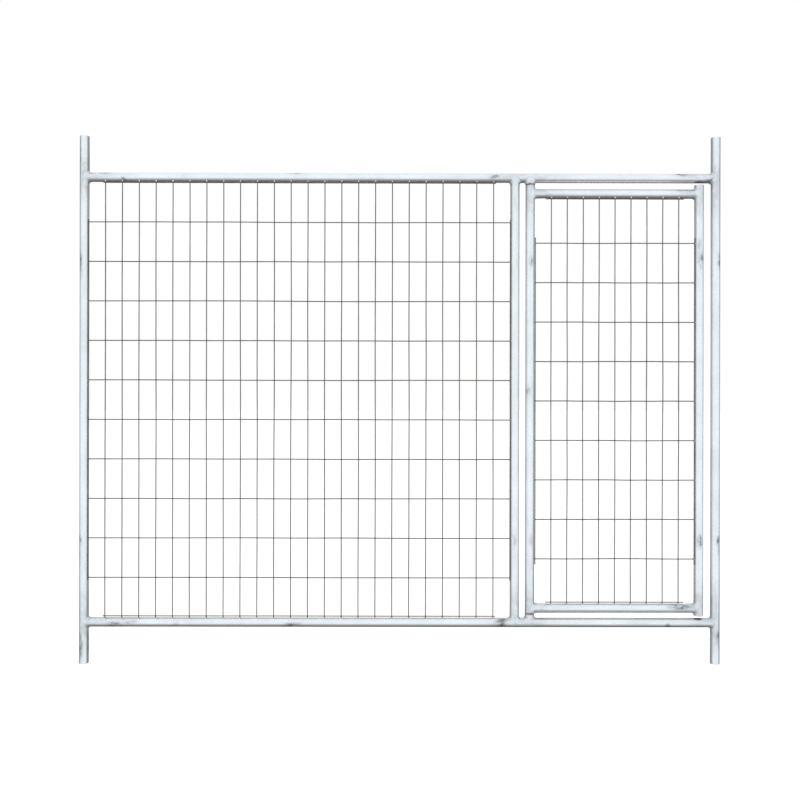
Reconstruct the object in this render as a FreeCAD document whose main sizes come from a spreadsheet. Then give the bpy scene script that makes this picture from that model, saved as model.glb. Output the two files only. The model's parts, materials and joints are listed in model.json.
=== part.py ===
import FreeCAD, Part
import math
import os

# Livestock panel gate: a free panel of welded round tube and wire mesh with a walk-through gate built in.
#
# Frame: +Z up, +X to the right seen from the front, the front is -Y.
# Origin: on the ground, midway between the two outer posts. All tube axes lie in the plane Y = 0.
# The fixed frame and the gate leaf are two bodies. The leaf turns about the axis of its hinge stile.

DIMENSIONS = (
    ("tube_od", 35.0, "outside diameter of every tube"),
    ("tube_wall", 2.0, "wall thickness of every tube"),
    ("fit_up_gap", 0.2, "gap left between a coped tube end and the tube it is welded to"),
    ("post_spacing", 2400.0, "left post to right post, centre to centre"),
    ("post_height", 2000.0, "length of the outer posts"),
    ("rail_low", 155.0, "height of the bottom rail's axis"),
    ("rail_high", 1845.0, "height of the top rail's axis"),
    ("mullion_x", 436.0, "place of the intermediate post's axis"),
    ("hinge_x", 494.0, "place of the hinge stile's axis, which is the hinge axis"),
    ("latch_x", 1137.0, "place of the latch stile's axis"),
    ("gate_rail_low", 209.5, "height of the gate's bottom rail"),
    ("gate_rail_high", 1786.0, "height of the gate's top rail"),
    ("hinge_face_low", 191.0, "height of the lower hinge stub's top face"),
    ("hinge_face_high", 1820.0, "height of the upper hinge stub's bottom face"),
    ("hinge_rest_gap", 0.5, "running gap over the lower stub"),
    ("hinge_lift_gap", 1.5, "running gap under the upper stub"),
    ("pin_diameter", 30.0, "hinge pin, loose in the tube's bore"),
    ("pin_reach", 60.0, "length of hinge pin inside the stile"),
    ("latch_end_low", 182.0, "height of the latch stile's lower end"),
    ("latch_end_high", 1819.0, "height of the latch stile's upper end"),
    ("wire_diameter", 4.0, "mesh wire"),
    ("cross_wire_y", -3.5, "depth of the cross wires, in front of the tube axes"),
    ("mesh_pitch_z", 150.0, "pitch of the cross wires"),
    ("low_edge_lift", 4.0, "how far the short edge wire over a bottom rail is raised out of the pitch"),
    ("panel_pitch_x", 64.0, "pitch of the panel's upright wires"),
    ("panel_columns", 25, "mesh cells across the panel"),
    ("panel_rows", 11, "mesh cells up the panel"),
    ("panel_overhang", 9.0, "how far a short edge wire runs past the last full wire"),
    ("gate_pitch_x", 60.5, "pitch of the gate's upright wires"),
    ("gate_columns", 10, "mesh cells across the gate"),
    ("gate_rows", 8, "mesh cells of full pitch up the gate"),
    ("gate_end_cell", 168.5, "height of the gate's top and bottom cells"),
    ("gate_overhang", 20.0, "how far a short edge wire runs past the last full wire"),
    ("bead_radius", 4.5, "radius of the weld bead's round section"),
    ("bead_rise", 2.0, "how far the bead's centre line stands out of the corner between two tubes"),
    ("bead_sink", 2.5, "how far the bead's centre line lies under the surface at the tubes' flanks"),
    ("tack_radius", 3.5, "radius of the tack weld at a wire's end"),
)

doc = FreeCAD.newDocument("livestock_panel_gate")
sheet = doc.addObject("Spreadsheet::Sheet", "Dimensions")
for row, (alias, value, meaning) in enumerate(DIMENSIONS, start=1):
    sheet.set(f"A{row}", meaning)
    sheet.set(f"B{row}", str(value))
    sheet.setAlias(f"B{row}", alias)
doc.recompute()

TO_Z = FreeCAD.Rotation()
TO_X = FreeCAD.Rotation(FreeCAD.Vector(0, 1, 0), 90)
FACING_Y = FreeCAD.Rotation(FreeCAD.Vector(1, 0, 0), 90)

# Expressions that several parts share.
TUBE_RADIUS = "Dimensions.tube_od / 2"
BORE_RADIUS = "Dimensions.tube_od / 2 - Dimensions.tube_wall"
COPE_RADIUS = "Dimensions.tube_od / 2 + Dimensions.fit_up_gap"
WIRE_RADIUS = "Dimensions.wire_diameter / 2"
TRIM_RADIUS = "Dimensions.wire_diameter / 2 + Dimensions.fit_up_gap"
CROSS_WIRE_Y = "Dimensions.cross_wire_y"
UPRIGHT_WIRE_Y = "Dimensions.cross_wire_y - Dimensions.wire_diameter"
LEFT_POST_X = "-Dimensions.post_spacing / 2"
RIGHT_POST_X = "Dimensions.post_spacing / 2"
MULLION_X = "Dimensions.mullion_x"
HINGE_X = "Dimensions.hinge_x"
LATCH_X = "Dimensions.latch_x"
RAIL_LOW = "Dimensions.rail_low"
RAIL_HIGH = "Dimensions.rail_high"
GATE_RAIL_LOW = "Dimensions.gate_rail_low"
GATE_RAIL_HIGH = "Dimensions.gate_rail_high"
STILE_LOW = "Dimensions.hinge_face_low + Dimensions.hinge_rest_gap"
STILE_HIGH = "Dimensions.hinge_face_high - Dimensions.hinge_lift_gap"


def bind(item, **expressions):
    """Tie properties to the sheet. A double underscore in a name stands for a dot."""
    for name, expression in expressions.items():
        item.setExpression(name.replace("__", "."), expression)
    return item


def place(item, rotation, x="0", y="0", z="0"):
    """Turn a piece and tie its position to the sheet."""
    item.Placement = FreeCAD.Placement(FreeCAD.Vector(), rotation)
    return bind(item, Placement__Base__x=x, Placement__Base__y=y, Placement__Base__z=z)


def upright(name, radius, x, low, high, y="0"):
    """A round bar along Z, from low to high."""
    bar = doc.addObject("Part::Cylinder", name)
    bind(bar, Radius=radius, Height=f"({high}) - ({low})")
    return place(bar, TO_Z, x, y, low)


def level(name, radius, left, right, z, y="0"):
    """A round bar along X, from left to right."""
    bar = doc.addObject("Part::Cylinder", name)
    bind(bar, Radius=radius, Height=f"({right}) - ({left})")
    return place(bar, TO_X, left, y, z)


def group(name, pieces):
    """Separate pieces kept together, without joining them."""
    together = doc.addObject("Part::Compound", name)
    together.Links = pieces
    return together


def cut(name, base, *tools):
    """Take each tool off the base in turn. The last cut carries the name."""
    for count, tool in enumerate(tools, start=1):
        result = doc.addObject("Part::Cut", name if count == len(tools) else f"{name}_step_{count}")
        result.Base = base
        result.Tool = tool
        base = result
    return base


def upright_tube(name, x, low, high, *coped_by):
    """A tube along Z, with its ends coped by the bars given."""
    outside = upright(f"{name}_outside", TUBE_RADIUS, x, low, high)
    bore = upright(f"{name}_bore", BORE_RADIUS, x, low, high)
    return cut(name, outside, bore, *coped_by)


def level_tube(name, left, right, z, *coped_by):
    """A tube along X, with its ends coped by the bars given."""
    outside = level(f"{name}_outside", TUBE_RADIUS, left, right, z)
    bore = level(f"{name}_bore", BORE_RADIUS, left, right, z)
    return cut(name, outside, bore, *coped_by)


# ---------------------------------------------------------------- shapes that cut other parts

# Copers are a little larger than the tube they stand for, and leave the fit-up gap under the weld.
post_copers = group("post_copers", [
    upright("left_post_coper", COPE_RADIUS, LEFT_POST_X, "0", "Dimensions.post_height"),
    upright("right_post_coper", COPE_RADIUS, RIGHT_POST_X, "0", "Dimensions.post_height"),
])
top_rail_coper = level("top_rail_coper", COPE_RADIUS, LEFT_POST_X, RIGHT_POST_X, RAIL_HIGH)
bottom_rail_coper = level("bottom_rail_coper", COPE_RADIUS, LEFT_POST_X, RIGHT_POST_X, RAIL_LOW)
rail_copers = group("rail_copers", [top_rail_coper, bottom_rail_coper])
stile_copers = group("stile_copers", [
    upright("hinge_stile_coper", COPE_RADIUS, HINGE_X, STILE_LOW, STILE_HIGH),
    upright("latch_stile_coper", COPE_RADIUS, LATCH_X, STILE_LOW, STILE_HIGH),
])

# Full bars are the exact outside of each tube. Welds and wires end on them.
left_post_bar = upright("left_post_bar", TUBE_RADIUS, LEFT_POST_X, "0", "Dimensions.post_height")
right_post_bar = upright("right_post_bar", TUBE_RADIUS, RIGHT_POST_X, "0", "Dimensions.post_height")
mullion_bar = upright("mullion_bar", TUBE_RADIUS, MULLION_X, RAIL_LOW, RAIL_HIGH)
top_rail_bar = level("top_rail_bar", TUBE_RADIUS, LEFT_POST_X, RIGHT_POST_X, RAIL_HIGH)
bottom_rail_bar = level("bottom_rail_bar", TUBE_RADIUS, LEFT_POST_X, RIGHT_POST_X, RAIL_LOW)
hinge_stile_bar = upright("hinge_stile_bar", TUBE_RADIUS, HINGE_X, STILE_LOW, STILE_HIGH)
latch_stile_bar = upright(
    "latch_stile_bar", TUBE_RADIUS, LATCH_X, "Dimensions.latch_end_low", "Dimensions.latch_end_high")
gate_top_bar = level("gate_top_bar", TUBE_RADIUS, HINGE_X, LATCH_X, GATE_RAIL_HIGH)
gate_bottom_bar = level("gate_bottom_bar", TUBE_RADIUS, HINGE_X, LATCH_X, GATE_RAIL_LOW)
upper_stub_bar = upright("upper_stub_bar", TUBE_RADIUS, HINGE_X, "Dimensions.hinge_face_high", RAIL_HIGH)
lower_stub_bar = upright("lower_stub_bar", TUBE_RADIUS, HINGE_X, RAIL_LOW, "Dimensions.hinge_face_low")

# ---------------------------------------------------------------- the fixed frame's tubes and hinge

left_post = upright_tube("left_post", LEFT_POST_X, "0", "Dimensions.post_height")
right_post = upright_tube("right_post", RIGHT_POST_X, "0", "Dimensions.post_height")
top_rail = level_tube("top_rail", LEFT_POST_X, RIGHT_POST_X, RAIL_HIGH, post_copers)
bottom_rail = level_tube("bottom_rail", LEFT_POST_X, RIGHT_POST_X, RAIL_LOW, post_copers)
mullion_post = upright_tube("mullion_post", MULLION_X, RAIL_LOW, RAIL_HIGH, rail_copers)
upper_hinge_stub = upright_tube(
    "upper_hinge_stub", HINGE_X, "Dimensions.hinge_face_high", RAIL_HIGH, top_rail_coper)
lower_hinge_stub = upright_tube(
    "lower_hinge_stub", HINGE_X, RAIL_LOW, "Dimensions.hinge_face_low", bottom_rail_coper)

# Each pin stands on its rail inside the stub, and carries the stile's open end.
PIN_RADIUS = "Dimensions.pin_diameter / 2"
upper_hinge_pin = cut(
    "upper_hinge_pin",
    upright("upper_pin_bar", PIN_RADIUS, HINGE_X, f"{STILE_HIGH} - Dimensions.pin_reach", RAIL_HIGH),
    top_rail_bar)
lower_hinge_pin = cut(
    "lower_hinge_pin",
    upright("lower_pin_bar", PIN_RADIUS, HINGE_X, RAIL_LOW, f"{STILE_LOW} + Dimensions.pin_reach"),
    bottom_rail_bar)

# ---------------------------------------------------------------- the gate's tubes

gate_hinge_stile = upright_tube("gate_hinge_stile", HINGE_X, STILE_LOW, STILE_HIGH)
gate_latch_stile = upright_tube(
    "gate_latch_stile", LATCH_X, "Dimensions.latch_end_low", "Dimensions.latch_end_high")
gate_top_rail = level_tube("gate_top_rail", HINGE_X, LATCH_X, GATE_RAIL_HIGH, stile_copers)
gate_bottom_rail = level_tube("gate_bottom_rail", HINGE_X, LATCH_X, GATE_RAIL_LOW, stile_copers)

# ---------------------------------------------------------------- wire mesh


def mesh(prefix, columns, column_x, full_rows, row_z, end_rows_z, overhang, sides, ends):
    """One welded mesh sheet with its corner cells cut away.

    The first and last upright wires lie beside the tubes at the sides, and the first and last cross wires
    beside the tubes at the ends. These four edges are short. Every other wire runs from tube to tube.
    sides and ends are pairs of (tube bar, place of its axis).
    Returns the four groups of wires (full uprights, full cross wires, side edges, end edges), and two groups
    of slightly thicker bars that stand for the side and end edges where a tack weld is trimmed.
    """
    (left_bar, left_x), (right_bar, right_x) = sides
    (low_bar, low_z), (high_bar, high_z) = ends
    side_bars = group(f"{prefix}_side_bars", [left_bar, right_bar])
    end_bars = group(f"{prefix}_end_bars", [low_bar, high_bar])
    full_columns = range(1, columns)

    uprights = [
        upright(f"{prefix}_upright_{i}", WIRE_RADIUS, column_x(i), low_z, high_z, UPRIGHT_WIRE_Y)
        for i in full_columns
    ]
    cross = [
        level(f"{prefix}_cross_{j}", WIRE_RADIUS, left_x, right_x, row_z(j), CROSS_WIRE_Y)
        for j in full_rows
    ]
    side_low = f"{row_z(full_rows[0])} - {overhang}"
    side_high = f"{row_z(full_rows[-1])} + {overhang}"
    side_edges, side_trimmers = (
        [
            upright(f"{prefix}_{kind}_{i}", radius, column_x(i), side_low, side_high, UPRIGHT_WIRE_Y)
            for i in (0, columns)
        ]
        for kind, radius in (("side", WIRE_RADIUS), ("side_trimmer", TRIM_RADIUS))
    )
    end_left = f"{column_x(full_columns[0])} - {overhang}"
    end_right = f"{column_x(full_columns[-1])} + {overhang}"
    end_edges, end_trimmers = (
        [
            level(f"{prefix}_{kind}_{k}", radius, end_left, end_right, z, CROSS_WIRE_Y)
            for k, z in enumerate(end_rows_z)
        ]
        for kind, radius in (("end", WIRE_RADIUS), ("end_trimmer", TRIM_RADIUS))
    )
    wires = (
        cut(f"{prefix}_mesh_upright_wires", group(f"{prefix}_uprights", uprights), end_bars),
        cut(f"{prefix}_mesh_cross_wires", group(f"{prefix}_crosses", cross), side_bars),
        group(f"{prefix}_mesh_side_edge_wires", side_edges),
        group(f"{prefix}_mesh_end_edge_wires", end_edges),
    )
    trimmers = (
        group(f"{prefix}_side_trimmers", side_trimmers),
        group(f"{prefix}_end_trimmers", end_trimmers),
    )
    return wires, trimmers


panel_columns = int(sheet.panel_columns)
panel_rows = int(sheet.panel_rows)
gate_columns = int(sheet.gate_columns)
gate_rows = int(sheet.gate_rows)
GATE_MIDDLE_Z = "(Dimensions.gate_rail_low + Dimensions.gate_rail_high) / 2"
GATE_END_REACH = "(Dimensions.gate_rows / 2 * Dimensions.mesh_pitch_z + Dimensions.gate_end_cell)"


def panel_column_x(i):
    """Place of the panel's upright wire i, counted from the left post."""
    middle = "(Dimensions.mullion_x - Dimensions.post_spacing / 2) / 2"
    return f"({middle} + ({i} - Dimensions.panel_columns / 2) * Dimensions.panel_pitch_x)"


def panel_row_z(j):
    """Height of the panel's cross wire j, counted from the bottom rail."""
    middle = "(Dimensions.rail_low + Dimensions.rail_high) / 2"
    return f"({middle} + ({j} - Dimensions.panel_rows / 2) * Dimensions.mesh_pitch_z)"


def gate_column_x(i):
    """Place of the gate's upright wire i, counted from the hinge stile."""
    middle = "(Dimensions.hinge_x + Dimensions.latch_x) / 2"
    return f"({middle} + ({i} - Dimensions.gate_columns / 2) * Dimensions.gate_pitch_x)"


def gate_row_z(j):
    """Height of the gate's full cross wire j, counted from the lowest."""
    return f"({GATE_MIDDLE_Z} + ({j} - Dimensions.gate_rows / 2) * Dimensions.mesh_pitch_z)"


panel_wires, panel_trimmers = mesh(
    "panel", panel_columns, panel_column_x, range(1, panel_rows), panel_row_z,
    (f"{panel_row_z(0)} + Dimensions.low_edge_lift", panel_row_z(panel_rows)), "Dimensions.panel_overhang",
    ((left_post_bar, LEFT_POST_X), (mullion_bar, MULLION_X)),
    ((bottom_rail_bar, RAIL_LOW), (top_rail_bar, RAIL_HIGH)))

gate_wires, gate_trimmers = mesh(
    "gate", gate_columns, gate_column_x, range(gate_rows + 1), gate_row_z,
    (f"{GATE_MIDDLE_Z} - {GATE_END_REACH} + Dimensions.low_edge_lift", f"{GATE_MIDDLE_Z} + {GATE_END_REACH}"),
    "Dimensions.gate_overhang",
    ((hinge_stile_bar, HINGE_X), (latch_stile_bar, LATCH_X)),
    ((gate_bottom_bar, GATE_RAIL_LOW), (gate_top_bar, GATE_RAIL_HIGH)))

# ---------------------------------------------------------------- welds


def tacks(name, wires, trimmers, columns, column_x, full_rows, row_z, sides, ends):
    """A blob of weld round each full wire's end, trimmed by the wires and the tube it lies on."""
    upright_group, cross_group = wires[:2]
    side_trimmers, end_trimmers = trimmers
    (left_bar, left_x), (right_bar, right_x) = sides
    (low_bar, low_z), (high_bar, high_z) = ends
    # distance from a tube's axis to the point where a wire's axis meets its surface
    cross_reach = "sqrt((Dimensions.tube_od / 2) ^ 2 - Dimensions.cross_wire_y ^ 2)"
    upright_reach = f"sqrt((Dimensions.tube_od / 2) ^ 2 - ({UPRIGHT_WIRE_Y}) ^ 2)"

    def blob(label, x, y, z):
        ball = doc.addObject("Part::Sphere", label)
        bind(ball, Radius="Dimensions.tack_radius")
        return place(ball, TO_Z, x, y, z)

    at_sides = []
    for j in full_rows:
        for side, x in (("left", f"{left_x} + {cross_reach}"), ("right", f"{right_x} - {cross_reach}")):
            at_sides.append(blob(f"{name}_{side}_{j}", x, CROSS_WIRE_Y, row_z(j)))
    at_ends = []
    for i in range(1, columns):
        for end, z in (("low", f"{low_z} + {upright_reach}"), ("high", f"{high_z} - {upright_reach}")):
            at_ends.append(blob(f"{name}_{end}_{i}", column_x(i), UPRIGHT_WIRE_Y, z))
    side_tacks = cut(
        f"{name}_at_sides", group(f"{name}_side_blobs", at_sides),
        group(f"{name}_side_tubes", [left_bar, right_bar]), cross_group, side_trimmers)
    end_tacks = cut(
        f"{name}_at_ends", group(f"{name}_end_blobs", at_ends),
        group(f"{name}_end_tubes", [low_bar, high_bar]), upright_group, end_trimmers)
    return group(name, [side_tacks, end_tacks])


panel_mesh_tack_welds = tacks(
    "panel_mesh_tack_welds", panel_wires, panel_trimmers,
    panel_columns, panel_column_x, range(1, panel_rows), panel_row_z,
    ((left_post_bar, LEFT_POST_X), (mullion_bar, MULLION_X)),
    ((bottom_rail_bar, RAIL_LOW), (top_rail_bar, RAIL_HIGH)))
gate_mesh_tack_welds = tacks(
    "gate_mesh_tack_welds", gate_wires, gate_trimmers,
    gate_columns, gate_column_x, range(gate_rows + 1), gate_row_z,
    ((hinge_stile_bar, HINGE_X), (latch_stile_bar, LATCH_X)),
    ((gate_bottom_bar, GATE_RAIL_LOW), (gate_top_bar, GATE_RAIL_HIGH)))


# Side of a block that is larger than any tube joint.
BLOCK = "4 * Dimensions.tube_od"


def bead_run(name, x, z, side_x, side_z, trimmed_by):
    """One run of weld, in the corner on the side_x, side_z side of the point where two tube axes cross.

    The surfaces of two equal tubes that cross at right angles meet in two flat ellipses, at 45 degrees either
    way about Y. The run is a round section swept round the ellipse that passes through this corner, kept
    within the corner's quarter of space and trimmed by both tubes and whatever else it must stay clear of.
    The sweep starts on the far side, so its seam isn't in the part that is kept.
    """
    major = "(Dimensions.tube_od / 2 * sqrt(2) + Dimensions.bead_rise)"
    tilt = math.degrees(math.atan2(side_z, -side_x))
    spine = doc.addObject("Part::Ellipse", f"{name}_spine")
    bind(spine, MajorRadius=major, MinorRadius="Dimensions.tube_od / 2 - Dimensions.bead_sink")
    place(spine, FreeCAD.Rotation(FreeCAD.Vector(0, 1, 0), tilt), x, "0", z)
    section = doc.addObject("Part::Circle", f"{name}_section")
    bind(section, Radius="Dimensions.bead_radius")
    across = f"{major} * sqrt(0.5)"
    place(section, FACING_Y, f"{x} - {side_x} * {across}", "0", f"{z} - {side_z} * {across}")
    ring = doc.addObject("Part::Sweep", f"{name}_ring")
    ring.Sections = [section]
    ring.Spine = (spine, ["Edge1"])
    ring.Solid = True

    corner = doc.addObject("Part::Box", f"{name}_corner")
    bind(corner, Length=BLOCK, Width=BLOCK, Height=BLOCK)
    shift = {1: "", -1: f"- {BLOCK}"}
    place(corner, TO_Z, f"{x} {shift[side_x]}", "-2 * Dimensions.tube_od", f"{z} {shift[side_z]}")
    kept = doc.addObject("Part::Common", f"{name}_kept")
    kept.Base = ring
    kept.Tool = corner
    return cut(name, kept, *trimmed_by)


def tube_weld(name, x, z, branch_bar, main_bar, *clearances, branch_x=0, branch_z=0):
    """The weld where a coped tube, the branch, stands on another of the same diameter: two runs of bead.

    branch_x or branch_z is 1 or -1, the way the branch leaves the other tube's axis.
    """
    corners = [(branch_x or side, branch_z or side) for side in (1, -1)]
    return group(name, [
        bead_run(f"{name}_{count}", x, z, side_x, side_z, (main_bar, branch_bar, *clearances))
        for count, (side_x, side_z) in enumerate(corners, start=1)
    ])


frame_tube_welds = [
    tube_weld("left_post_top_weld", LEFT_POST_X, RAIL_HIGH, top_rail_bar, left_post_bar, branch_x=1),
    tube_weld("left_post_bottom_weld", LEFT_POST_X, RAIL_LOW, bottom_rail_bar, left_post_bar, branch_x=1),
    tube_weld("right_post_top_weld", RIGHT_POST_X, RAIL_HIGH, top_rail_bar, right_post_bar, branch_x=-1),
    tube_weld("right_post_bottom_weld", RIGHT_POST_X, RAIL_LOW, bottom_rail_bar, right_post_bar, branch_x=-1),
    tube_weld("mullion_top_weld", MULLION_X, RAIL_HIGH, mullion_bar, top_rail_bar, branch_z=-1),
    tube_weld("mullion_bottom_weld", MULLION_X, RAIL_LOW, mullion_bar, bottom_rail_bar, branch_z=1),
    tube_weld("upper_stub_weld", HINGE_X, RAIL_HIGH, upper_stub_bar, top_rail_bar, branch_z=-1),
    tube_weld("lower_stub_weld", HINGE_X, RAIL_LOW, lower_stub_bar, bottom_rail_bar, branch_z=1),
]

# The gate's bottom rail lies level with the stile's end, so the weld there is dressed flush with that end.
below_stile = doc.addObject("Part::Box", "below_stile")
bind(below_stile, Length=BLOCK, Width=BLOCK, Height=BLOCK)
place(
    below_stile, TO_Z,
    f"{HINGE_X} - 2 * Dimensions.tube_od", "-2 * Dimensions.tube_od", f"{STILE_LOW} - {BLOCK}")

gate_tube_welds = [
    tube_weld("hinge_stile_top_weld", HINGE_X, GATE_RAIL_HIGH, gate_top_bar, hinge_stile_bar, branch_x=1),
    tube_weld(
        "hinge_stile_bottom_weld", HINGE_X, GATE_RAIL_LOW, gate_bottom_bar, hinge_stile_bar, below_stile,
        branch_x=1),
    tube_weld("latch_stile_top_weld", LATCH_X, GATE_RAIL_HIGH, gate_top_bar, latch_stile_bar, branch_x=-1),
    tube_weld(
        "latch_stile_bottom_weld", LATCH_X, GATE_RAIL_LOW, gate_bottom_bar, latch_stile_bar, branch_x=-1),
]

# ---------------------------------------------------------------- names, checks and files

SUB_PARTS = (
    left_post, right_post, top_rail, bottom_rail, mullion_post,
    upper_hinge_stub, lower_hinge_stub, upper_hinge_pin, lower_hinge_pin,
    *panel_wires, panel_mesh_tack_welds, *frame_tube_welds,
    gate_hinge_stile, gate_latch_stile, gate_top_rail, gate_bottom_rail,
    *gate_wires, gate_mesh_tack_welds, *gate_tube_welds,
)
for part in SUB_PARTS:
    part.Label = part.Name

doc.recompute()

failed = [item.Name for item in doc.Objects if "Invalid" in item.State or "Error" in item.State]
if failed:
    raise RuntimeError(f"failed to rebuild: {', '.join(failed)}")
for part in SUB_PARTS:
    if part.Shape.isNull() or not part.Shape.isValid():
        raise RuntimeError(f"{part.Label} has no valid shape")

os.makedirs("parts", exist_ok=True)
for part in SUB_PARTS:
    part.Shape.exportStep(f"parts/{part.Label}.step")
    print(f"{part.Label}: {len(part.Shape.Solids)} solids, {part.Shape.Volume:.0f} mm3")
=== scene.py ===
import json
import math
import random

import bmesh
import bpy
import numpy as np
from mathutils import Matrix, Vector, noise


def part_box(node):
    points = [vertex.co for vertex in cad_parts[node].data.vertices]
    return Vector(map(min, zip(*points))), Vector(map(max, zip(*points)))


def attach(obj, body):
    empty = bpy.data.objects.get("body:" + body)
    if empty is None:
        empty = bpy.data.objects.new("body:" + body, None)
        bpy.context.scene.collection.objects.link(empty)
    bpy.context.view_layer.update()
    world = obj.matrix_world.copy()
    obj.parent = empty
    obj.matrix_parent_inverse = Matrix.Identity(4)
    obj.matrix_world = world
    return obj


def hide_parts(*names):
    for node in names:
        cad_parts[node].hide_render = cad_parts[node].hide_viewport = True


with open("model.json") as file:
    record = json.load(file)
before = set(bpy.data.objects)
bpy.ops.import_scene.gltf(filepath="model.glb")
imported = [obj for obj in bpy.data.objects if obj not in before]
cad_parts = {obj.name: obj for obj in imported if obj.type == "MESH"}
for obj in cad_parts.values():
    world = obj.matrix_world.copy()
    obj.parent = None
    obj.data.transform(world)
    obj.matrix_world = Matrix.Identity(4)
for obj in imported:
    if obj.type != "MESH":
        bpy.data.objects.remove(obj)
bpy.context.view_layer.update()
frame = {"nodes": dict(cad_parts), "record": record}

# The livestock panel gate: smooth hollow tubes, drawn wire, ribbed weld beads and zinc, built on the frame.
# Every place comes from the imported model, in metres: x along the panel, y through it to the back, z up.

random.seed(7)

MM = 0.001
X, Y, Z = (Vector(row) for row in ((1, 0, 0), (0, 1, 0), (0, 0, 1)))

mounts = {mount["name"]: mount for mount in frame["record"]["mounts"]}
BORE_RADIUS = mounts["left_post_bore"]["dims"]["r_mm"] * MM
TUBE_RADIUS = (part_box("left_post")[1].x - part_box("left_post")[0].x) / 2
FIT_UP_GAP = 0.2 * MM      # a coped end stops this far from the tube it is welded to
SAW_EDGE = 0.4 * MM        # rounding that the zinc leaves on a sawn tube end
HINGE_EDGE = 1.1 * MM      # rounding worn on the two tube ends that turn on each other at a hinge
RING_PITCH = 12 * MM       # length of one band of faces along a tube
TUBE_SIDES = 64
ZINC_LUMP = 0.13 * MM      # how far the zinc coat is thicker or thinner in places
LUMPS_PER_METRE = (18, 30, 18)
OWN_LUMPS = 3              # moves each tube's lumps, so that no two tubes have the same ones
END_RINGS = (2, 3.5, 5.5, 8)      # mm from a sawn end, for the extra rings that hold its grime
END_STEPS = 5              # rings round the rounding of a sawn end
SHARP_ANGLE = math.radians(50)    # faces that meet at more than this are shaded with a crisp edge


# ---------------------------------------------------------------- meshes

class Skin:
    """The vertices and faces of one piece, with a number from 0 to 1 at each vertex for how far it is
    darkened by real marks and by painted shade.
    """

    def __init__(self):
        self.points, self.faces, self.stain_and_shade = [], [], []

    def add(self, points, faces, stain_and_shade=None):
        first = len(self.points)
        self.points.extend(map(tuple, points))
        self.faces.extend(tuple(first + index for index in face) for face in faces)
        self.stain_and_shade.extend([0.0] * len(points) if stain_and_shade is None else stain_and_shade)

    def add_rings(self, rings, loop=False, stain_and_shade=None):
        """Closed rings joined in order. A loop's last ring joins its first; otherwise flat caps close it."""
        count, sides = len(rings), len(rings[0])
        faces = []
        for row in range(count if loop else count - 1):
            here, there = row * sides, (row + 1) % count * sides
            for side in range(sides):
                after = (side + 1) % sides
                faces.append((here + side, here + after, there + after, there + side))
        if not loop:
            faces.append(tuple(reversed(range(sides))))
            faces.append(tuple(range((count - 1) * sides, count * sides)))
        self.add(np.concatenate(rings), faces, stain_and_shade)

    def make(self, name, body, node, material):
        """Makes the finished piece, which rides on a body and stands for a CAD node."""
        mesh = bpy.data.meshes.new(name)
        mesh.from_pydata(self.points, [], self.faces)
        mesh.attributes.new("stain_and_shade", "FLOAT", "POINT").data.foreach_set("value", self.stain_and_shade)
        work = bmesh.new()
        work.from_mesh(mesh)
        bmesh.ops.recalc_face_normals(work, faces=work.faces)
        work.to_mesh(mesh)
        work.free()
        mesh.shade_smooth()
        mesh.set_sharp_from_angle(angle=SHARP_ANGLE)
        mesh.materials.append(material)
        piece = bpy.data.objects.new(name, mesh)
        bpy.context.scene.collection.objects.link(piece)
        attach(piece, body)
        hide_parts(node)


def middle(node):
    low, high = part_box(node)
    return (low + high) / 2


def circle(sides):
    return np.linspace(0, 2 * math.pi, sides, endpoint=False)


# ---------------------------------------------------------------- materials

# Sockets of a Mix node that mixes colours.
MIX_SHARE, MIX_FIRST, MIX_SECOND, MIX_COLOUR = 0, 6, 7, 2


class Nodes:
    """Short ways to add nodes to a tree. A value may be a number, a colour or another node's output."""

    def __init__(self, tree):
        self.tree = tree

    def node(self, kind, values=None, **settings):
        made = self.tree.nodes.new(kind)
        for key, value in settings.items():
            setattr(made, key, value)
        for key, value in (values or {}).items():
            if isinstance(value, bpy.types.NodeSocket):
                self.tree.links.new(value, made.inputs[key])
            else:
                made.inputs[key].default_value = value
        return made

    def ramp(self, value, low, high, start=0.0, end=1.0, interpolation="LINEAR"):
        values = {"Value": value, "From Min": low, "From Max": high, "To Min": start, "To Max": end}
        return self.node("ShaderNodeMapRange", values, interpolation_type=interpolation).outputs["Result"]

    def maths(self, operation, first, second=0.0):
        return self.node("ShaderNodeMath", {0: first, 1: second}, operation=operation).outputs["Value"]

    def mix(self, share, first, second):
        values = {MIX_SHARE: share, MIX_FIRST: first, MIX_SECOND: second}
        return self.node("ShaderNodeMix", values, data_type="RGBA").outputs[MIX_COLOUR]


class Shading(Nodes):
    """A metal's material."""

    def __init__(self, name, metallic):
        self.material = bpy.data.materials.new(name)
        self.material.use_nodes = True
        super().__init__(self.material.node_tree)
        self.shader = self.tree.nodes["Principled BSDF"]
        self.shader.inputs["Metallic"].default_value = metallic
        self.place = self.node("ShaderNodeTexCoord").outputs["Object"]

    def stretched(self, along, squeeze):
        """Coordinates drawn out along one axis, for grain that runs along a tube or wire."""
        scale = [1.0, 1.0, 1.0]
        scale["xyz".index(along)] = squeeze
        return self.node("ShaderNodeMapping", {"Vector": self.place, "Scale": scale}).outputs["Vector"]

    def noise(self, scale, detail=4.0, roughness=0.55, at=None):
        values = {"Vector": at or self.place, "Scale": scale, "Detail": detail, "Roughness": roughness}
        return self.node("ShaderNodeTexNoise", values).outputs["Fac"]

    def bump(self, height, strength, distance, onto=None):
        values = {"Height": height, "Strength": strength, "Distance": distance}
        if onto:
            values["Normal"] = onto
        return self.node("ShaderNodeBump", values).outputs["Normal"]

    def link(self, socket, value):
        self.tree.links.new(value, self.shader.inputs[socket])


# Patterns in the zinc: how fine each one is, the part of its range that is used, and how much it adds to the
# step from bright to dull.
CLOUD_SCALE, CLOUD_RANGE, CLOUDS = 7.0, (0.36, 0.66), 0.5
STREAK_SCALE, STREAK_RANGE, STREAKS = 150.0, (0.46, 0.72), 0.30
CRYSTAL_SCALE, CRYSTALS = 130.0, 0.22
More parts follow.
